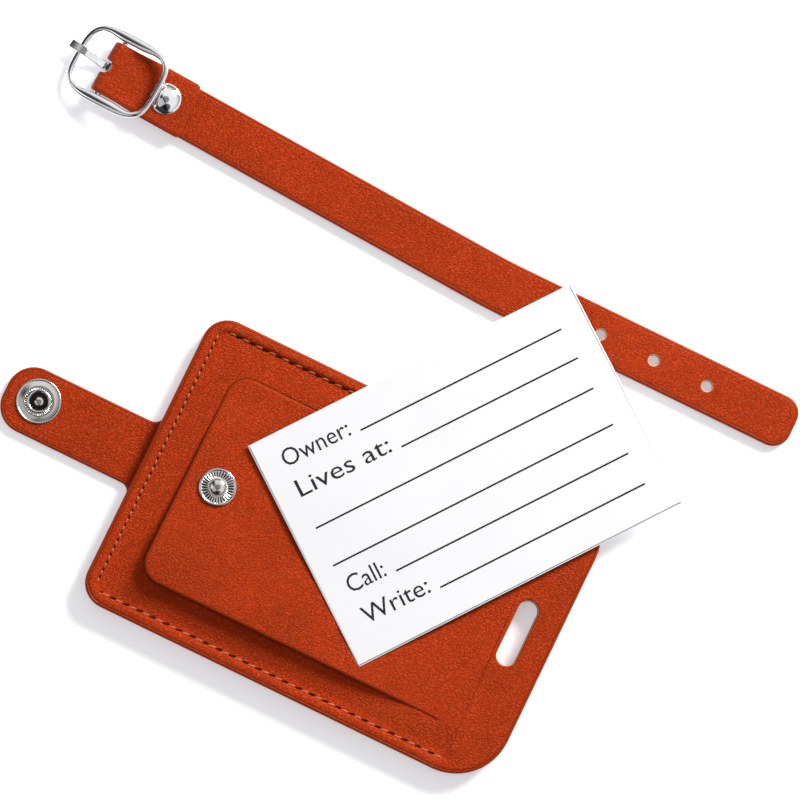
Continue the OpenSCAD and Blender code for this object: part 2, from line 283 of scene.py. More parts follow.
def film_material():
    s = new_material("clear_film")
    place = s.objectwise()
    waves = s.noise(place, 55.0, 2.0)
    return s.surface(Base_Color=(0.93, 0.95, 1.0, 1), Roughness=s.ramp(waves, 0.3, 0.7, 0.06, 0.14),
                     IOR=1.45, Transmission_Weight=0.75, Alpha=0.55, Normal=s.bump(waves, 0.2, 0.3))


def lining_material():
    """Fine plain weave."""
    s = new_material("lining_weave")
    over, under = (s.node("TexWave", {"bands_direction": axis}, Vector=s.objectwise(),
                          Scale=900.0).outputs[1] for axis in "XY")
    weave = s.math("MULTIPLY", over, under)
    colour = s.mix(weave, (0.035, 0.0225, 0.0175), (0.07, 0.045, 0.035))
    return s.surface(Base_Color=colour, Roughness=0.9, Normal=s.bump(weave, 0.08, 0.6))


def board_material():
    s = new_material("fibre_board")
    place = s.objectwise()
    fibre = s.noise(s.place(place, (400, 1500, 400)), 1.0, 4.0, 0.65)
    colour = s.mix(s.ramp(fibre, 0.3, 0.7), (0.36, 0.29, 0.2), (0.55, 0.46, 0.34))
    return s.surface(Base_Color=colour, Roughness=0.85, Normal=s.bump(fibre, 0.05, 0.5))


BODY_LEATHER = leather("body_leather", grain=0.39, turn=-9.0, shift=0.0)
STRAP_LEATHER = leather("strap_leather", grain=0.37, turn=20.0, shift=37.0)
CHROME = polished("polished_chrome", (0.86, 0.86, 0.88), 0.05)
NICKEL = polished("nickel_plate", NICKEL_TONE, 0.12, 0.05)
# Ribbed nickel whose hollows carry painted shade
SHADED_RIBBED_NICKEL = polished("ribbed_nickel_groove_shade", NICKEL_TONE, 0.12, 0.05, grooves=True)
SPRING = polished("spring_wire", (0.80, 0.70, 0.48), 0.2)
THREAD = thread_material()
NEEDLE_SHADE = needle_shade_material()
CARD = card_material()
INK = ink_material()
FILM = film_material()
LINING = lining_material()
BOARD = board_material()


# ---- mesh building


def add_object(name, data):
    made = bpy.data.objects.new(name, data)
    bpy.context.scene.collection.objects.link(made)
    return made


def smooth(data, angle):
    """Smooth shading, with sharp edges above an angle in degrees."""
    data.polygons.foreach_set("use_smooth", [True] * len(data.polygons))
    data.set_sharp_from_angle(angle=math.radians(angle))


def mesh_piece(name, bm, material, smooth_angle=38):
    """Turns a bmesh in millimetres into an object in metres, with its rest position stored."""
    bmesh.ops.recalc_face_normals(bm, faces=bm.faces)
    data = bpy.data.meshes.new(name)
    bm.to_mesh(data)
    bm.free()
    rest = data.attributes.new("rest", "FLOAT_VECTOR", "POINT")
    for vertex, spot in zip(data.vertices, rest.data):
        spot.vector = vertex.co
    data.transform(Matrix.Scale(MM, 4))
    smooth(data, smooth_angle)
    data.materials.append(material)
    piece = add_object(name, data)
    return piece


def settle(piece, body, node):
    """Makes a piece ride on a body and stand for a CAD node."""
    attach(piece, body)
    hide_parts(node)


def on_x(x, z=0.0):
    """A point on the body's middle plane, in metres."""
    return x * MM, 0, z * MM


def edge_layer(bm):
    return bm.verts.layers.float.get("edge") or bm.verts.layers.float.new("edge")


class Outline:
    """A closed plan curve as points with outward normals and a share of edge rounding at each."""

    def __init__(self, points, share=None):
        self.points = points
        self.share = share or (lambda x, y: 1.0)

    def loop(self, inset):
        """The curve moved inward by inset."""
        return [(x - nx * inset * self.share(x, y), y - ny * inset * self.share(x, y))
                for x, y, nx, ny in self.points]


def arc(cx, cy, r, start, turn, steps, out=1):
    """(x, y, normal x, normal y) points along an arc. Angles are degrees. out is -1 on a fillet."""
    points = []
    for step in range(steps + 1):
        a = math.radians(start + turn * step / steps)
        points.append((cx + r * math.cos(a), cy + r * math.sin(a), out * math.cos(a), out * math.sin(a)))
    return points


def rounded_points(x0, x1, y0, y1, radii, steps, extra_x=()):
    """Rounded rectangle, anticlockwise from its low corner. The radii are low-left, low-right,
    high-right and high-left, and extra_x adds points along both long sides."""
    corners = zip((x0, x1, x1, x0), (y0, y0, y1, y1), radii, (180, 270, 0, 90))
    points = []
    for x, y, radius, start in corners:
        cx = x + radius if x == x0 else x - radius
        cy = y + radius if y == y0 else y - radius
        points += arc(cx, cy, radius, start, 90, steps)
        if start == 180:
            points += [(at, y0, 0, -1) for at in sorted(extra_x)]
        if start == 0:
            points += [(at, y1, 0, 1) for at in sorted(extra_x, reverse=True)]
    return points


def ring(bm, points, height, edge, layer):
    """A loop of vertices over plan points. The height is a number or a function of x and y."""
    made = []
    for x, y in points:
        z = height(x, y) if callable(height) else height
        vert = bm.verts.new((x, y, z))
        vert[layer] = edge
        made.append(vert)
    return made


def bridge(bm, lower, upper):
    """Faces between two closed rows of as many vertices."""
    count = len(lower)
    for i in range(count):
        j = (i + 1) % count
        bm.faces.new((lower[i], lower[j], upper[j], upper[i]))


def fill(bm, loops):
    """Flat faces between an outer loop and the loops inside it."""
    edges = []
    for loop in loops:
        for i, vert in enumerate(loop):
            other = loop[(i + 1) % len(loop)]
            edges.append(bm.edges.get((vert, other)) or bm.edges.new((vert, other)))
    bmesh.ops.triangle_fill(bm, use_beauty=True, use_dissolve=False, edges=edges)


def sheet(*borders):
    """Closed flat piece from (outline, profile) pairs, the outside first. A profile runs from the
    underside's inner edge, round the outside, to the face's inner edge, as (inset, height, edge)."""
    bm = bmesh.new()
    layer = edge_layer(bm)
    feet, faces = [], []
    for curve, steps in borders:
        loops = [ring(bm, curve.loop(inset), height, edge, layer) for inset, height, edge in steps]
        for lower, upper in zip(loops, loops[1:]):
            bridge(bm, lower, upper)
        feet.append(loops[0])
        faces.append(loops[-1])
    fill(bm, feet)
    fill(bm, faces)
    return bm


def bisect(bm, spot, normal, clear=False):
    """Cuts the mesh at a plane, and returns the cut's edges."""
    cut = bmesh.ops.bisect_plane(bm, geom=bm.verts[:] + bm.edges[:] + bm.faces[:], dist=1e-5,
                                 plane_co=spot, plane_no=normal, clear_outer=clear)
    return [item for item in cut["geom_cut"] if isinstance(item, bmesh.types.BMEdge)]


def cut_lines(bm, spots, normal=(1, 0, 0)):
    """Adds edge lines across the mesh, so that it can bend there."""
    for spot in spots:
        bisect(bm, Vector(normal) * spot, normal)


def keep_between(bm, low, high):
    """A copy of the mesh between two planes across X, with cut ends closed. None keeps an end."""
    part = bm.copy()
    for x, outward in ((low, -1), (high, 1)):
        if x is not None:
            rim = bisect(part, (x, 0, 0), (outward, 0, 0), True)
            bmesh.ops.triangle_fill(part, use_beauty=True, use_dissolve=False, edges=rim)
    return part


def move(bm, place):
    """Moves every vertex to place(x, y, z)."""
    for vert in bm.verts:
        vert.co = place(*vert.co)


def soft_edges(low, high, radius, crease, inner=1.3, underside=0.3, groove=0.11):
    """Edge profile of cut leather: rounded, painted, with a creased line just inside."""
    r = min(radius, (high - low) / 2)
    u = min(underside, (high - low) / 2)
    return [
        (inner, low, 0.0), (inner - 0.15, low, 0.0), (u, low, 0.8), (0.3 * u, low + 0.3 * u, 1.0),
        (0.0, low + u, 1.0), (0.0, high - r, 1.0), (0.12 * r, high - 0.62 * r, 1.0),
        (0.38 * r, high - 0.27 * r, 1.0), (0.75 * r, high - 0.07 * r, 0.9), (r, high - 0.02, 0.7),
        (crease, high - groove, 5 * groove), (crease + 0.12, high - 0.6 * groove, 3 * groove),
        (crease + 0.35, high, 0.0), (inner - 0.1, high, 0.0), (inner, high, 0.0)]


def step_up(value, low, high):
    """Smooth rise from 0 to 1 as the value goes from low to high."""
    t = min(1.0, max(0.0, (value - low) / (high - low)))
    return t * t * (3 - 2 * t)


def capsule_points(cx, cy, half_x, half_y):
    """Slot with round ends, long across X or Y, with outward normals."""
    radii = [0.999 * min(half_x, half_y)] * 4
    return rounded_points(cx - half_x, cx + half_x, cy - half_y, cy + half_y, radii, 10)


def turns_of(count, shift=0.0):
    """Equal steps round a full turn, in radians."""
    return [2 * math.pi * (i + shift) / count for i in range(count)]


def circle_points(cx, cy, r, steps=32):
    return [(cx + r * math.cos(a), cy + r * math.sin(a), math.cos(a), math.sin(a)) for a in turns_of(steps)]


def as_hole(points):
    """The same curve, whose material lies outside it."""
    return Outline([(x, y, -nx, -ny) for x, y, nx, ny in points])


def revolve(name, profile, material, matrix, segments=96, ripple=None, dark=None):
    """Turned piece about +Z from (radius, height) points. ripple(radius, angle, height) is added to
    the height, and its hollows get painted shade, as does all that dark(radius, height) picks."""
    bm = bmesh.new()
    layer = edge_layer(bm)
    rows = []
    for radius, height in profile:
        if radius < 1e-6:
            rows.append([bm.verts.new((0, 0, height))])
            continue
        row = []
        for turn in turns_of(segments):
            lift = ripple(radius, turn, height) if ripple else 0.0
            row.append(bm.verts.new((radius * math.cos(turn), radius * math.sin(turn), height + lift)))
            # The edge value marks where painted shade goes: the ripple's hollows and all that dark() picks
            row[-1][layer] = 1.0 if dark and dark(radius, height) else step_up(-lift, 0.005, 0.06)
        rows.append(row)
    for low, high in zip(rows, rows[1:]):
        for i in range(segments):
            j = (i + 1) % segments
            if len(low) == 1:
                bm.faces.new((low[0], high[j], high[i]))
            elif len(high) == 1:
                bm.faces.new((low[i], low[j], high[0]))
            else:
                bm.faces.new((low[i], low[j], high[j], high[i]))
    bm.transform(matrix)
    return mesh_piece(name, bm, material)


def loft(rows, closed_path=False, edges=None):
    """Closed skin over rows of points. Open paths get flat ends. edges has one value for each
    point of a row."""
    bm = bmesh.new()
    layer = edge_layer(bm)
    made = [[bm.verts.new(point) for point in row] for row in rows]
    for row in made if edges else ():
        for vert, edge in zip(row, edges):
            vert[layer] = edge
    pairs = list(zip(made, made[1:]))
    if closed_path:
        pairs.append((made[-1], made[0]))
    for low, high in pairs:
        bridge(bm, low, high)
    if not closed_path:
        bm.faces.new(made[0])
        bm.faces.new(list(reversed(made[-1])))
    return bm


def cut_away(piece, cutter_bm):
    """Takes the cutter's volume out of a finished piece."""
    cutter_data = bpy.data.meshes.new("cutter")
    bmesh.ops.recalc_face_normals(cutter_bm, faces=cutter_bm.faces)
    cutter_bm.transform(Matrix.Scale(MM, 4))
    cutter_bm.to_mesh(cutter_data)
    cutter_bm.free()
    cutter = add_object("cutter", cutter_data)
    tool = piece.modifiers.new("cut", "BOOLEAN")
    tool.operation = "DIFFERENCE"
    tool.solver = "EXACT"
    tool.object = cutter
    bpy.context.view_layer.update()
    cut = bpy.data.meshes.new_from_object(piece.evaluated_get(bpy.context.evaluated_depsgraph_get()))
    piece.modifiers.clear()
    piece.data = cut
    bpy.data.objects.remove(cutter)
    for vertex, spot in zip(cut.vertices, cut.attributes["rest"].data):
        spot.vector = vertex.co / MM
    smooth(cut, 38)


def prism(points, low, high):
    """Straight block over a plan curve."""
    bm = bmesh.new()
    feet, tops = ([bm.verts.new((*point[:2], z)) for point in points] for z in (low, high))
    bridge(bm, feet, tops)
    bm.faces.new(list(reversed(feet)))
    bm.faces.new(tops)
    return bm


def join_into(bm, other, matrix=None):
    """Adds another bmesh to this one."""
    if matrix is not None:
        other.transform(matrix)
    scratch = bpy.data.meshes.new("scratch")
    other.to_mesh(scratch)
    other.free()
    bm.from_mesh(scratch)
    bpy.data.meshes.remove(scratch)


# ---- tag body

BODY_POINTS = rounded_points(BODY_X0, BODY_X1, -BODY_Y, BODY_Y,
                             [CORNER_TAB, CORNER_SLOT, CORNER_SLOT, CORNER_TAB], 12,
                             (-38, -28, -18, -8, 2, 12, 22, 30, 33, 34, 35))
SLOT_POINTS = capsule_points(SLOT_X, 0, *SLOT_HALF)
UNDER = TOP - COVER_T
BAND_TOP = RIM_FOOT - 0.05


def back_cover():
    """Back leather with a raised band that meets the front cover's rim at the painted edge."""
    profile = [
        (1.5, 0, 0), (1.3, 0, 0), (0.4, 0, 0.7), (0.12, 0.1, 1), (0, 0.35, 1), (0, BAND_TOP - 0.3, 1),
        (0.06, BAND_TOP - 0.08, 1), (0.24, BAND_TOP, 0.9), (1.2, BAND_TOP, 0),
        (1.38, BAND_TOP - 0.06, 0), (1.4, BACK_T + 0.05, 0), (1.5, BACK_T, 0), (1.7, BACK_T, 0)]
    collar = [
        (0.7, 0, 0), (0.5, 0, 0.2), (0.25, 0, 0.8), (0.05, 0.08, 1), (0, 0.3, 1),
        (0, BAND_TOP - 0.15, 1), (0.1, BAND_TOP, 0.8), (0.42, BAND_TOP, 0), (0.45, BACK_T, 0),
        (0.7, BACK_T, 0)]
    bm = sheet((Outline(BODY_POINTS), profile), (as_hole(SLOT_POINTS), collar))
    piece = mesh_piece("back_cover_leather", bm, BODY_LEATHER)
    settle(piece, "tag_body", "back_cover")


# The flap's cut runs on past its hinge line, where it closes up
FLAP_POINTS = rounded_points(FLAP_X0, HINGE_X + 2.3, -FLAP_Y, FLAP_Y, [FLAP_R, 0.04, 0.04, FLAP_R], 10,
                             (-30, -20, -10, 0, 10, 20, 28, 31, 31.8, 32.4, 32.9, 33.3, 33.6, 34.4))


def flap_share(x, _):
    """Edge rounding and the cut's width fade out where the flap joins the cover."""
    return 1 - step_up(x, HINGE_X - 2.4, HINGE_X)


def front_cover():
    """Front leather: sewn rim on three sides, pressed stitch line, opening round the flap."""
    def foot(x, _):
        return RIM_FOOT + (UNDER - RIM_FOOT) * step_up(x, HINGE_X + 1.8, HINGE_X + 2.8)

    profile = [(4.9, UNDER, 0), (4.6, UNDER, 0), (4.5, foot, 0), (3.3, foot, 0), (0.35, foot, 0.7),
               (0.1, lambda x, y: foot(x, y) + 0.07, 1), (0, lambda x, y: foot(x, y) + 0.25, 1)]
    # (inset, depth on the sewn sides, depth on the plain slot end, edge)
    rim = [
        (0, 0.70, 0.55, 1), (0.04, 0.52, 0.33, 1), (0.14, 0.34, 0.16, 1), (0.32, 0.20, 0.05, 1),
        (0.52, 0.13, 0.02, 0.8), (0.64, 0.22, 0.13, 0.8), (0.78, 0.17, 0.07, 0.4), (1.0, 0.09, 0, 0),
        (1.4, 0.05, 0, 0), (1.8, 0.07, 0, 0), (2.1, 0.14, 0, 0), (2.4, 0.30, 0, 0), (2.65, 0.54, 0, 0),
        (2.85, 0.66, 0, 0), (3.1, 0.64, 0, 0), (3.4, 0.58, 0, 0), (3.9, 0.54, 0, 0), (4.5, 0.50, 0, 0),
        (4.9, 0.47, 0, 0)]

    def rim_height(inset, sewn, plain):
        def height(x, y):
            sag = 0.32 * step_up(inset, 2.6, 4.0) * step_up(-y, 18.0, 27.0)
            return TOP - plain - (sewn + sag - plain) * (1 - step_up(x, 36.8, 39.0))
        return height

    profile += [(inset, rim_height(inset, sewn, plain), edge) for inset, sewn, plain, edge in rim]
    cut = 0.04
    lip = [
        (cut + 0.6, UNDER, 0), (cut + 0.4, UNDER, 0), (cut + 0.02, UNDER, 0.3), (cut, UNDER + 0.05, 0.3),
        (cut, TOP - 0.05, 0.3), (cut + 0.02, TOP - 0.02, 0.2), (cut + 0.06, TOP, 0.1),
        (cut + 0.34, TOP, 0), (cut + 0.5, TOP, 0)]
    collar = [
        (1.4, UNDER, 0), (1.2, UNDER, 0), (1.15, RIM_FOOT + 0.03, 0), (0.25, RIM_FOOT, 0.8),
        (0.05, RIM_FOOT + 0.08, 1), (0, RIM_FOOT + 0.3, 1), (0, TOP - 0.5, 1), (0.03, TOP - 0.25, 1.8),
        (0.12, TOP - 0.08, 1.8), (0.24, TOP - 0.02, 0.6), (0.36, TOP, 0.3), (0.55, TOP, 0),
        (0.8, TOP, 0)]
    opening = as_hole(FLAP_POINTS)
    opening.share = flap_share
    bm = sheet((Outline(BODY_POINTS), profile), (opening, lip), (as_hole(SLOT_POINTS), collar))
    bmesh.ops.remove_doubles(bm, verts=bm.verts, dist=1e-4)
    piece = mesh_piece("front_cover_leather", bm, BODY_LEATHER)
    settle(piece, "tag_body", "front_cover")


def flap_rise(x, y):
    """Height of the flap's face above the cover at rest: its tilt and a slight curl of its lower
    side, as far as the card above it leaves room."""
    reach = max(0.0, HINGE_X - x)
    bend, curl_height, gap, rise_beside = 4.0, 1.25, 0.05, 0.16
    slope = math.tan(FLAP_TILT)
    sides = step_up(-y, 1.5, 19.5) - 0.55 * step_up(y, 3.0, 20.0)
    curl = curl_height * step_up(reach, 1.0, 26.0) * sides
    tilt = slope * reach * reach / (2 * bend) if reach < bend else slope * (reach - bend / 2)
    spot = on_card().inverted() @ Vector((x, y, 0))
    beside = max(0.0, abs(spot.x) - CARD_HALF[0], abs(spot.y) - CARD_HALF[1])
    return min(tilt + curl, CARD_LOW[2] - TOP - gap + rise_beside * beside)


def privacy_flap():
    """The flap, cut across where it bends and lengthwise where it curls."""
    bm = sheet((Outline(FLAP_POINTS, flap_share), soft_edges(UNDER, TOP, 0.4, 0.52, groove=0.025)))
    bmesh.ops.remove_doubles(bm, verts=bm.verts, dist=1e-4)
    cut_lines(bm, [HINGE_X - 0.3 * step for step in range(-1, 17)] + [-34 + 4 * step for step in range(16)])
    cut_lines(bm, [-16 + 4 * step for step in range(9)], (0, 1, 0))
    move(bm, lambda x, y, z: (x, y, z + flap_rise(x, y)))
    piece = mesh_piece("privacy_flap_leather", bm, BODY_LEATHER)
    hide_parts("privacy_flap")
    on_x(HINGE_X + 0.1, TOP)
    on_x(HINGE_X - 3.6, TOP)
    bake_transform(piece)


# ---- stitches

STITCH_INSET = 2.8
STITCH_FLOOR = TOP - 0.64
LONG_PITCH, SHORT_PITCH = 3.18, 1.75


def spaced(low, high, pitch):
    """Middles of the equal stitches between two ends of a line, and their length."""
    count = round((high - low) / pitch)
    step = (high - low) / count
    return [low + (i + 0.5) * step for i in range(count)], step


def stitch_spots():
    """(x, y, heading, length) of every stitch: long ones along the sides, short at the tab end."""
    line_x, line_y = BODY_X0 + STITCH_INSET, BODY_Y - STITCH_INSET
    spots, step = spaced(line_x + 1.3, HINGE_X + 3.8, LONG_PITCH)
    for side in (-1, 1):
        for x in spots:
            yield x, side * line_y, 0.0, step
    spots, step = spaced(1.2 - line_y, line_y - 1.2, SHORT_PITCH)
    for y in spots:
        yield line_x, y, math.pi / 2, step


def strand(length, lift, chance):
    """One stitch of thread, dipping into the leather at both ends."""
    radius, sunk, flatness = 0.27, 0.14, 0.85
    rows = []
    for step in range(9):
        t = step / 8 * 2 - 1
        height = lift * (1 - abs(t) ** 3) - sunk
        thick = radius * (0.7 + 0.3 * (1 - t * t)) * chance.uniform(0.95, 1.05)
        rows.append([(length / 2 * t, thick * math.cos(a), height + flatness * thick * math.sin(a))
                     for a in turns_of(10)])
    return loft(rows)


def cover_stitches():
    """The thread's stitches, and a dark mark of painted shade for the needle hole at each one's end."""
    chance = random.Random(7)
    thread, shade_marks = bmesh.new(), bmesh.new()
    edge_layer(thread)
    edge_layer(shade_marks)
    for x, y, heading, length in stitch_spots():
        if heading == 0.0:
            slant, share, lift, shade_size = 0.16, 0.56, 0.17, (0.95, 0.34, 0.10, 1)
        else:
            slant, share, lift, shade_size = 0.10, 0.74, 0.27, (0.40, 0.31, 0.09, 1)
        place = Matrix.Translation((x, y, STITCH_FLOOR)) @ Matrix.Rotation(
            heading + slant + chance.uniform(-0.05, 0.05), 4, "Z")
        join_into(thread, strand(share * length, lift, chance), place)
        # A flat dark ellipsoid at the stitch's end: painted shade of the needle hole
        shade_mark = bmesh.new()
        bmesh.ops.create_uvsphere(shade_mark, u_segments=16, v_segments=8, radius=1.0)
        end = length / 2
        spot = (x - end * math.cos(heading), y - end * math.sin(heading), STITCH_FLOOR + 0.02)
        join_into(shade_marks, shade_mark, Matrix.Translation(spot) @ Matrix.Rotation(heading + 0.32, 4, "Z")
                  @ Matrix.Diagonal(shade_size))
    piece = mesh_piece("cover_stitch_thread", thread, THREAD, 60)
    settle(piece, "tag_body", "cover_stitches")
    holes = mesh_piece("cover_needle_hole_shades", shade_marks, NEEDLE_SHADE, 60)
    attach(holes, "tag_body")


# ---- closure tab


def tab_points():
    """Tab outline with fillets where it leaves the body. Its lower side hangs a little wider."""
    low, high, r, root = -TAB_HIGH[1] - 0.85, TAB_HIGH[1] - 0.3, 6.0, 2.0
    x_round, x_fillet, x_in = TAB_LOW[0] + r, BODY_X0 - root, BODY_X0 + 0.9
    return (arc(x_round, low + r, r, 180, 90, 12) + arc(x_fillet, low - root, root, 90, -90, 8, -1)
            + [(x_in, low - root, 0.7, -0.7), (x_in, high + root, 0.7, 0.7)]
            + arc(x_fillet, high + root, root, 0, -90, 8, -1) + arc(x_round, high - r, r, 90, 90, 12))


def closure_tab():
    """The tab in three lengths: one for each fold line, and the straight end, recessed for the snap."""
    middle = (FOLD_1 + FOLD_2) / 2
    past = FOLD_2 - 3.4
    bm = sheet((Outline(tab_points()), soft_edges(0, TAB_T, 0.5, 0.62, 1.35)))
    cut_lines(bm, [BODY_X0 - 0.25 - 0.3 * step for step in range(36)])
    parts = (("closure_tab_root", keep_between(bm, middle, None)),
             ("closure_tab_bend", keep_between(bm, past, middle)),
             ("closure_tab_end", keep_between(bm, None, past)))
    root, bend, end = [mesh_piece(name, part, BODY_LEATHER) for name, part in parts]
    bm.free()
    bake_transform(root)
    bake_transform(bend)
    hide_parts("tab_wrap")
    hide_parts("tab_strap")
    cap_r, hole_r = 5.1, 2.62
    cut_away(end, prism(circle_points(SOCKET_X, 0, cap_r, 64), -1, 0.45))
    cut_away(end, prism(circle_points(SOCKET_X, 0, hole_r, 64), -1, 3))
    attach(end, "tab")


# ---- snap


def arc_profile(centre_r, centre_z, radius, start, end, steps=6):
    """(radius, height) points along an arc, between two angles in degrees."""
    return [point[:2] for point in arc(centre_r, centre_z, radius, start, end - start, steps)]


def snap_socket():
    """Ring on the tab: finely ribbed round its mouth, with a hole for the stud's ball that is painted dark as
    shade.
    """
    outer = (SOCKET_HIGH[0] - SOCKET_LOW[0]) / 2

    def ribs(radius, turn, height):
        if 2.62 < radius < 3.02 and height > 0.1:
            return 0.06 * math.cos(36 * turn)
        return 0.02 * math.cos(60 * turn) if radius > outer - 0.5 and height > 0.1 else 0.0

    # The hole's inside gets painted shade, as do the ribs' hollows through the ripple
    def painted_hole_shade(radius, height):
        return 0.85 < radius < 2.05 and -1.05 < height < 0.1

    barrel = [(0, -1.1), (2.6, -1.1), (2.6, 0.0), (outer - 0.1, 0.0)]
    flange = arc_profile(outer - 0.24, 0.12, 0.24, -10, 130) + [
        (outer - 0.5, 0.22), (outer - 0.9, 0.28), (3.7, 0.33), (3.4, 0.40), (3.15, 0.44), (3.05, 0.42)]
    mouth = [(3.0, 0.38), (2.8, 0.38), (2.65, 0.38), (2.6, 0.44), (2.5, 0.54), (2.35, 0.58),
             (2.2, 0.55), (2.05, 0.42), (1.95, 0.2), (1.95, 0.0)]
    hole = [(1.95, -0.92), (1.5, -0.98), (1.0, -0.96), (0.8, -0.86), (0.45, -0.8), (0, -0.79)]
    socket = revolve("snap_socket_ring", barrel + flange + mouth + hole, SHADED_RIBBED_NICKEL,
                     Matrix.Translation((SOCKET_X, 0, TAB_T)), 240, ribs, painted_hole_shade)
    settle(socket, "tab", "snap_socket")


def snap_cap():
    """Slightly domed cap on the tab's other side."""
    profile = [(0, 0.48), (4.9, 0.48), (5.02, 0.42), (5.0, 0.33), (4.85, 0.25), (4.5, 0.19),
               (3.9, 0.13), (3.0, 0.07), (2.0, 0.03), (1.0, 0.01), (0, 0.0)]
    cap = revolve("snap_cap_shell", profile, NICKEL, Matrix.Translation((SOCKET_X, 0, 0)))
    settle(cap, "tab", "snap_cap")


def snap_stud():
    """Serrated flange on the flap, with a ball on a short neck."""
    flange = (STUD_HIGH[0] - STUD_LOW[0]) / 2
    neck_r, ball_r, ball_z, ball_top = 1.36, 1.75, 1.1, 1.8
    place = (Matrix.Translation((STUD_X, 0, TOP + flap_rise(STUD_X, 0)))
             @ Matrix.Rotation(FLAP_TILT, 4, "Y"))

    def serrations(radius, turn, height):
        inside = 1.0 if 2.2 < radius < 3.45 and height > 0.1 else 0.0
        return 0.09 * inside * math.cos(32 * turn)

    profile = [(0, 0), (flange - 0.12, 0.0)] + arc_profile(flange - 0.34, 0.2, 0.34, -20, 140) + [
        (3.5, 0.32), (3.35, 0.3), (3.1, 0.31), (2.8, 0.32), (2.5, 0.33), (2.25, 0.34), (2.05, 0.4),
        (1.75, 0.46), (1.42, 0.5), (neck_r, 0.62), (1.62, 0.82), (1.73, 0.97), (ball_r, ball_z)]
    profile += [(ball_r * math.cos(a), ball_z + (ball_top - ball_z) * math.sin(a))
                for a in (math.pi * k / 24 for k in range(1, 12))]
    # The serrations' hollows carry painted shade from the ribbed nickel
    stud = revolve("snap_stud_head", profile + [(0, ball_top)], SHADED_RIBBED_NICKEL, place, 256,
                   serrations)
    settle(stud, "flap", "snap_stud")


# ---- address card

CARD_LOW, CARD_HIGH = box_mm("id_card")
CARD_HALF = (38.75, 26.35)
CARD_TURN = math.radians(52.75)
CARD_MID = ((CARD_LOW[0] + CARD_HIGH[0]) / 2, (CARD_LOW[1] + CARD_HIGH[1]) / 2)
# Field label, its start and end, the baseline's depth below the top edge, and the rule's end
FIELDS = (("Owner:", 5.4, 21.0, 7.8, 71.3), ("Lives at:", 5.4, 27.2, 14.9, 71.7),
          ("", 0, 3.0, 22.2, 71.7), ("", 0, 2.7, 31.0, 71.9),
          ("Call:", 5.6, 14.2, 38.0, 72.0), ("Write:", 5.6, 21.0, 45.4, 72.2))
LINE_GAP, LINE_T = 2.1, 0.40
CAP_HEIGHT = 3.8


def on_card():
    """Place of the card's own frame: origin at its middle, X along its lines."""
    return Matrix.Translation((*CARD_MID, 0)) @ Matrix.Rotation(CARD_TURN, 4, "Z")


def id_card():
    """The card, with printed rules and generic field labels."""
    low, high = CARD_LOW[2], CARD_HIGH[2]
    half_x, half_y = CARD_HALF
    outline = Outline(rounded_points(-half_x, half_x, -half_y, half_y, [0.25] * 4, 3))
    bm = sheet((outline, [(0.4, low, 0), (0.05, low, 0), (0, low + 0.05, 1), (0, high - 0.05, 1),
                          (0.05, high, 0), (0.4, high, 0)]))
    bm.transform(on_card())
    card = mesh_piece("id_card_stock", bm, CARD, 60)
    settle(card, "card", "id_card")

    print_bm = bmesh.new()
    edge_layer(print_bm)
    for _, _, text_end, drop, line_end in FIELDS:
        x0, x1 = text_end + LINE_GAP - half_x, line_end - half_x
        y0, y1 = half_y - drop - LINE_T / 2, half_y - drop + LINE_T / 2
        join_into(print_bm, prism([(x0, y0), (x1, y0), (x1, y1), (x0, y1)], high + 0.002, high + 0.018))
    for words, start, text_end, drop, _ in FIELDS:
        if words:
            join_into(print_bm, lettering(words, start - half_x, half_y - drop, text_end - start, high))
    print_bm.transform(on_card())
    ink = mesh_piece("id_card_print", print_bm, INK, 60)
    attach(ink, "card")


def lettering(words, x, y, width, z):
    """Plain generic field label in print 0.016 mm thick, fitted to a width and the capitals' height."""
    curve = bpy.data.curves.new("label", "FONT")
    curve.body = words
    curve.size = 1.0
    curve.extrude = 0.5
    curve.resolution_u = 3
    holder = add_object("label", curve)
    bpy.context.view_layer.update()
    data = bpy.data.meshes.new_from_object(holder.evaluated_get(bpy.context.evaluated_depsgraph_get()))
    bpy.data.objects.remove(holder)
    bm = bmesh.new()
    bm.from_mesh(data)
    bpy.data.meshes.remove(data)
    bmesh.ops.remove_doubles(bm, verts=bm.verts, dist=1e-5)
    xs = [vert.co.x for vert in bm.verts]
    tall = max(vert.co.y for vert in bm.verts)
    scale_x, scale_y = width / (max(xs) - min(xs)), CAP_HEIGHT / tall
    for vert in bm.verts:
        vert.co = (x + (vert.co.x - min(xs)) * scale_x, y + vert.co.y * scale_y,
                   z + 0.01 + 0.016 * vert.co.z)
    return bm


# ---- strap

STRAP_CORNER = 4.0
HOLE_R = mounts["strap_holes"]["dims"]["hole_r_mm"]
HOLE_PITCH = mounts["strap_holes"]["dims"]["spacing_x_mm"]
HOLE_S = in_mm(mounts["strap_hole_inner"]["pos_m"])[0] - BEND_X
TURN_HALF = 4.0
FIRST_CUT = 14.0
RETURN_END = PIN_S + 19.65


def strap_place(s, y, z):
    """From strap coordinates, straight along s, to the laid-out strap with its slanted part."""
    share = min(1.0, max(0.0, (TURN_HALF - s) / (2 * TURN_HALF)))
    angle = SLANT * share
    if s >= TURN_HALF:
        x0, y0 = s, 0.0
    elif s > -TURN_HALF:
        x0, y0 = s, SLANT * (TURN_HALF - s) ** 2 / (4 * TURN_HALF)
    else:
        x0, y0 = s * math.cos(SLANT), -s * math.sin(SLANT)
    return BEND_X + x0 + y * math.sin(angle), STRAP_Y + y0 + y * math.cos(angle), z


def on_slant(s=0.0, z=0.0):
    """Place of a frame on the slanted part, with X along it."""
    return (Matrix.Translation((BEND_X, STRAP_Y, 0)) @ Matrix.Rotation(-SLANT, 4, "Z")
            @ Matrix.Translation((s, 0, z)))


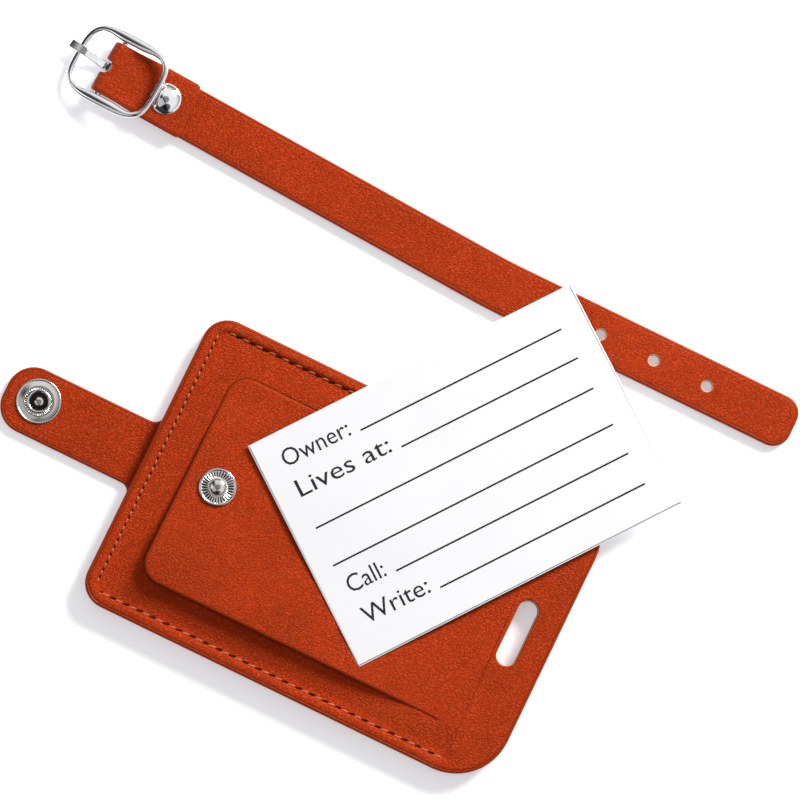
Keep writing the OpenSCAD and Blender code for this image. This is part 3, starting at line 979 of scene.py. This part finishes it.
def strap_rim():
    """Edge profile shared by every strap piece, with a fine seam at half height."""
    seam = 0.95
    profile = soft_edges(0, STRAP_T, 0.5, 0.66, 1.35, 0.4)
    profile[5:5] = [(0.0, seam - 0.09, 1.0), (0.07, seam, 1.0), (0.0, seam + 0.09, 1.0)]
    return profile


def strap_strip(s_high, s_low):
    """Length of strap between two cuts, with rows across it so that it can bend."""
    profile = strap_rim()
    across = [(STRAP_HALF - inset, z, edge) for inset, z, edge in profile]
    across += [(y, STRAP_T, 0.0) for y in (3.0, 1.5, 0.0, -1.5, -3.0)]
    across += [(inset - STRAP_HALF, z, edge) for inset, z, edge in reversed(profile)]
    across += [(y, 0.0, 0.0) for y in (-2.0, 2.0)]
    pitch = 0.9
    count = round((s_high - s_low) / pitch)
    stations = [s_high + (s_low - s_high) * i / count for i in range(count + 1)]
    rows = [[strap_place(s, y, z) for y, z, _ in across] for s in stations]
    return loft(rows, edges=[edge for _, _, edge in across])


def strap():
    """The strap's bending length, split at the middle of every link, so that each piece spans
    one joint."""
    ends = [FIRST_CUT] + [-(k + 0.5) * LINK_L for k in range(LINKS)] + [PIN_S + 11.6]
    for index in range(LINKS + 1):
        part = strap_strip(ends[index], ends[index + 1])
        piece = mesh_piece(f"strap_leather_{index + 1}", part, STRAP_LEATHER)
        if index == LINKS:
            cut_away(piece, prism(circle_points(RIVET[0], RIVET[1], 3.05, 48), -1, 0.4))
        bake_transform(piece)
        if index:
            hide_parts(f"strap_link_{index}")


def strap_tip():
    """Rounded end of the strap, with its three punched holes."""
    hem = [(0.5, 0, 0), (0.3, 0, 0), (0.08, 0.02, 0.8), (0, 0.15, 1), (0, STRAP_T - 0.45, 1),
           (0, STRAP_T - 0.25, 2), (0.05, STRAP_T - 0.08, 2), (0.16, STRAP_T - 0.01, 2),
           (0.27, STRAP_T, 0.3), (0.4, STRAP_T, 0), (0.5, STRAP_T, 0)]
    outline = Outline(rounded_points(FIRST_CUT - 2, STRAP_TIP - BEND_X, -STRAP_HALF, STRAP_HALF,
                                     [1.5, STRAP_CORNER, STRAP_CORNER, 1.5], 12))
    holes = [as_hole(circle_points(HOLE_S + i * HOLE_PITCH, 0, HOLE_R + 0.12)) for i in range(3)]
    bm = sheet((outline, strap_rim()), *((hole, hem) for hole in holes))
    tip = keep_between(bm, FIRST_CUT, None)
    bm.free()
    move(tip, strap_place)
    piece = mesh_piece("strap_leather_tip", tip, STRAP_LEATHER)
    settle(piece, "strap_base", "strap_tip")


def section(half_w, half_t, radius):
    """Rounded rectangle section as (across, through, edge) points, with points inside both faces."""
    points = []
    for side_x, side_y, start in ((1, -1, -90), (1, 1, 0), (-1, 1, 90), (-1, -1, 180)):
        for angle in (math.radians(start + 22.5 * step) for step in range(5)):
            points.append((side_x * (half_w - radius) + radius * math.cos(angle),
                           side_y * (half_t - radius) + radius * math.sin(angle), 1.0))
        if side_x == side_y:
            points += [(side_x * share * half_w, side_y * half_t, 0.0)
                       for share in (0.86, 0.4, -0.4, -0.86)]
    return points


def ribbon(path):
    """Flat band along a path of (s, z, thickness, half width). Its face is on the path's left."""
    rows = []
    for i, (s, z, thick, half_w) in enumerate(path):
        before, after = path[max(0, i - 1)], path[min(len(path) - 1, i + 1)]
        heading = Vector((after[0] - before[0], after[1] - before[1])).normalized()
        normal = Vector((-heading.y, heading.x))
        half_t = thick / 2
        points = section(half_w, half_t, 0.72 * half_t)
        rows.append([(s + normal.x * through, across, z + normal.y * through)
                     for across, through, _ in points])
    return loft(rows, edges=[edge for _, _, edge in points])


def strap_return():
    """The strap's thinned end: round the centre bar and back on top, to the rivet. It ends in a
    slightly oblique cut with small round corners."""
    bend_r, layer_t, fold_t = 1.325, 1.3, 1.15
    corner_r, edge_r, widening = 1.1, 0.5, 0.15
    path = []
    for step in range(9):
        t = step / 8
        thick = STRAP_T + (fold_t - STRAP_T) * step_up(t, 0.1, 1.0)
        path.append((PIN_S + 11.5 * (1 - t), thick / 2 + 0.01, thick, STRAP_HALF))
    for step in range(1, 16):
        a = math.radians(-90 - 180 * step / 16)
        path.append((PIN_S + bend_r * math.cos(a), PIN.z + bend_r * math.sin(a), fold_t,
                     STRAP_HALF + widening * step / 16))
    top_z = STRAP_T + layer_t / 2 + 0.02
    for step in range(45):
        s = PIN_S + (RETURN_END - PIN_S) * (step / 44)
        down = step_up(s, PIN_S - 2.0, PIN_S + 9.0)
        z = PIN.z + bend_r + (top_z - PIN.z - bend_r) * down
        half_w = STRAP_HALF + widening + 0.35 * step_up(s, PIN_S + 2, PIN_S + 11)
        thick = fold_t + (layer_t - fold_t) * down
        to_end = RETURN_END - s
        if to_end < corner_r:
            half_w -= corner_r - math.sqrt(max(0.0, corner_r ** 2 - (corner_r - to_end) ** 2))
        if to_end < edge_r:
            thick *= 0.72 + 0.28 * math.sqrt(max(0.0, 1 - (1 - to_end / edge_r) ** 2))
        path.append((s, z, thick, half_w))
    bm = ribbon(path)
    for vert in bm.verts:
        if vert.co.z > STRAP_T:
            vert.co.x -= 0.09 * vert.co.y * step_up(vert.co.x, RETURN_END - 6.0, RETURN_END)
    bm.transform(on_slant())
    piece = mesh_piece("strap_leather_return", bm, STRAP_LEATHER, 45)
    notch_l, notch_w = 3.3, 1.65
    place = on_slant(PIN_S - notch_l + 0.15)
    notch = [(place @ Vector((x, y, 0))).to_tuple() for x, y, _, _ in capsule_points(0, 0, notch_l, notch_w)]
    cut_away(piece, prism(notch, -1, 6))
    settle(piece, "buckle_end", "strap_buckle_end")


def rivet():
    """Low dome with a short straight rim."""
    radius, height = 3.35, 1.4
    ball_r = (radius ** 2 + height ** 2) / (2 * height)
    profile = [(0, 0), (radius - 0.1, 0), (radius, 0.06), (radius, 0.16)]
    top = math.asin((radius - 0.06) / ball_r)
    for step in range(1, 17):
        a = top * (1 - step / 16)
        profile.append((ball_r * math.sin(a), height - ball_r * (1 - math.cos(a))))
    place = Matrix.Translation((RIVET[0], RIVET[1], box_mm("rivet_cap")[0][2]))
    piece = revolve("rivet_dome", profile, CHROME, place)
    settle(piece, "buckle_end", "rivet_cap")


# ---- buckle

BUCKLE_HALF = (10.35, 8.55)
BUCKLE_SHIFT = 1.9
BUCKLE_TILT = math.radians(10.9)
BUCKLE_RISE, BUCKLE_ARCH = 1.6, 0.6
BUCKLE_T = 1.2
TONGUE_TURN = math.radians(-4.5)


def on_pin(tilt=0.0):
    """Place of a frame on the centre bar's middle, with X along the strap."""
    return on_slant(PIN_S, PIN.z) @ Matrix.Rotation(-tilt, 4, "Y")


def buckle_frame():
    """Cushion-shaped chrome ring, arched, wider where the centre bar meets its long sides."""
    half_x, half_y = BUCKLE_HALF
    squareness = 2 / 3.4

    def outer(turn):
        c, s = math.cos(turn), math.sin(turn)
        return Vector((half_x * math.copysign(abs(c) ** squareness, c),
                       half_y * math.copysign(abs(s) ** squareness, s)))

    rows = []
    for turn in turns_of(128, 0.5):
        spot = outer(turn)
        along = (outer(turn + 0.01) - outer(turn - 0.01)).normalized()
        inward = Vector((-along.y, along.x))
        side = 1 - step_up(abs(spot.x), 2.0, 8.5)
        width = 1.25 + 0.95 * side * step_up(abs(spot.y), 4, 8)
        height = BUCKLE_T * (1.0 - 0.1 * side)
        row = []
        for a in turns_of(20):
            c, s = math.cos(a), math.sin(a)
            u = width / 2 * (1 + math.copysign(abs(c) ** 0.8, c))
            v = height / 2 * math.copysign(abs(s) ** 0.85, s)
            x, y = spot + inward * u
            row.append((x + BUCKLE_SHIFT, y, v + BUCKLE_RISE - BUCKLE_ARCH * (x / half_x) ** 2))
        rows.append(row)
    bm = loft(rows, True)
    for side in (-1, 1):
        join_into(bm, buckle_lug(side * (half_y - 0.95)))
    bm.transform(on_pin(BUCKLE_TILT))
    piece = mesh_piece("buckle_ring", bm, CHROME, 50)
    settle(piece, "buckle", "buckle_frame")


def buckle_lug(middle_y):
    """Round-footed lug that holds an end of the centre bar under the ring."""
    size = 0.95
    rows = []
    for step in range(7):
        t = step / 6
        z = -0.95 + (BUCKLE_RISE + 0.8) * t
        r = size * math.sqrt(max(0.02, 1 - (1 - min(1.0, t / 0.35)) ** 2))
        rows.append([(r * math.cos(a), middle_y + 0.6 * min(1, r + 0.1) * math.sin(a), z)
                     for a in turns_of(16)])
    return loft(rows)


def buckle_tongue():
    """Flat strip: rests on the frame's end, dips, and curls round the centre bar."""
    curl_r, thick = 1.17, 0.6
    run = [(-10.2, 0.32), (-9.6, 0.46), (-8.9, 0.58), (-8.2, 0.67), (-7.4, 0.74), (-6.6, 0.74),
           (-5.6, 0.42), (-4.6, -0.05), (-3.6, -0.42), (-2.7, -0.76), (-1.9, -1.0), (-1.2, -1.13)]
    path = [(x, z, thick, 0.9) for x, z in run]
    path += [(x, z, thick, 0.92) for x, z in arc_profile(0, 0, curl_r, -100, 185, 18)]
    bm = ribbon(path)
    bm.transform(on_pin() @ Matrix.Rotation(TONGUE_TURN, 4, "Z"))
    piece = mesh_piece("buckle_tongue_strip", bm, CHROME, 40)
    settle(piece, "tongue", "buckle_tongue")


# ---- build


def dress_frame_nodes():
    """Finishes for the CAD nodes that stay as they are."""
    finishes = {"window_film": FILM, "pocket_lining": LINING, "stiffener_board": BOARD,
                "socket_spring": SPRING, "stud_eyelet": NICKEL, "rivet_post": CHROME,
                "buckle_bar": CHROME}
    for name, material in finishes.items():
        node = frame["nodes"][name]
        node.data.materials.clear()
        node.data.materials.append(material)


def table():
    """Pale table under the object."""
    bm = bmesh.new()
    bmesh.ops.create_grid(bm, x_segments=1, y_segments=1, size=2.5)
    data = bpy.data.meshes.new("table_top")
    bm.to_mesh(data)
    bm.free()
    top = add_object("table_top", data)
    top.location = (0, 0, -0.00002)
    s = new_material("pale_table")
    colour = s.mix(s.noise(s.objectwise(), 3.0, 1.0), (0.88, 0.88, 0.89), (0.90, 0.90, 0.91))
    data.materials.append(s.surface(Base_Color=colour, Roughness=0.9, Specular_IOR_Level=0.1,
                                    Emission_Color=(0.92, 0.94, 1.0, 1), Emission_Strength=0.36))


def sky():
    """Soft white surroundings. What the glossy surfaces mirror is darker on one side, with a
    bright patch and two dark ones."""
    world = bpy.data.worlds.new("studio")
    bpy.context.scene.world = world
    s = Nodes(world, "OutputWorld")
    gaze = s.node("TexCoord").outputs["Generated"]

    def towards(direction, low, high, out_low, out_high):
        """A smooth change of brightness with the angle to a direction."""
        dot = s.node("VectorMath", {"operation": "DOT_PRODUCT"})
        s.plug(dot.inputs[0], gaze)
        s.plug(dot.inputs[1], Vector(direction).normalized())
        return s.ramp(dot.outputs["Value"], low, high, out_low, out_high)

    def shaded(light, direction, low, high, depth):
        return s.math("MULTIPLY", light,
                      s.math("SUBTRACT", 1.0, towards(direction, low, high, 0.0, depth)))

    plain = towards((0, 0, 1), 0.0, 0.9, 0.12, 0.50)
    mirrored = s.math("MULTIPLY", towards((0.7, 0.72, 0.1), -0.16, 0.10, 0.05, 1.0),
                      towards((0, 0, 1), 0.1, 0.6, 0.2, 1.0))
    mirrored = shaded(mirrored, (0, 0, 1), 0.93, 0.975, 0.72)
    mirrored = s.math("ADD", mirrored, towards((-0.75, -0.25, 0.6), 0.93, 0.97, 0.0, 0.9))
    mirrored = shaded(mirrored, (0.35, -0.55, 0.75), 0.93, 0.96, 0.85)
    glossy = s.node("LightPath").outputs["Is Glossy Ray"]
    chosen = s.math("ADD", s.math("MULTIPLY", mirrored, glossy),
                    s.math("MULTIPLY", plain, s.math("SUBTRACT", 1.0, glossy)))
    s.plug(s.output, s.node("Background", Color=(1.0, 1.0, 1.0, 1), Strength=chosen).outputs[0])


def lamps():
    """A key light from beyond the strap and a weak fill."""
    for name, spot, size, power in (("key", (0.30, 0.86, 0.50), 0.36, 19.5),
                                    ("fill", (-0.5, -0.5, 1.1), 0.9, 1.4)):
        lamp = bpy.data.lights.new(name, "AREA")
        lamp.energy = power
        lamp.size = size
        holder = add_object(name, lamp)
        holder.location = spot
        holder.rotation_euler = (Vector((0, 0.03, 0)) - Vector(spot)).to_track_quat("-Z", "Y").to_euler()


def camera():
    """Looks nearly straight down, turned so that +X runs down to the right."""
    turn = math.radians(26.0)
    lean_right, lean_up = math.radians(-2.0), math.radians(-4.5)
    lens, sensor = 200.0, 36.0
    field = 0.1716
    aim = Vector((-0.0043, 0.0341, 0.002))
    right = Vector((math.cos(turn), math.sin(turn), 0))
    up = Vector((-math.sin(turn), math.cos(turn), 0))
    back = (Vector((0, 0, 1)) + right * math.tan(lean_right) + up * math.tan(lean_up)).normalized()
    side = (right - back * right.dot(back)).normalized()
    data = bpy.data.cameras.new("camera")
    data.lens = lens
    data.sensor_width = sensor
    eye = add_object("camera", data)
    spot = aim + back * field * lens / sensor
    axes = Matrix((side, back.cross(side), back)).transposed()
    eye.matrix_world = Matrix.Translation(spot) @ axes.to_4x4()
    bpy.context.scene.camera = eye


back_cover()
front_cover()
privacy_flap()
cover_stitches()
closure_tab()
snap_socket()
snap_cap()
snap_stud()
id_card()
strap()
strap_tip()
strap_return()
rivet()
buckle_frame()
buckle_tongue()
dress_frame_nodes()
table()
sky()
lamps()
camera()
bpy.context.scene.view_settings.view_transform = "Standard"
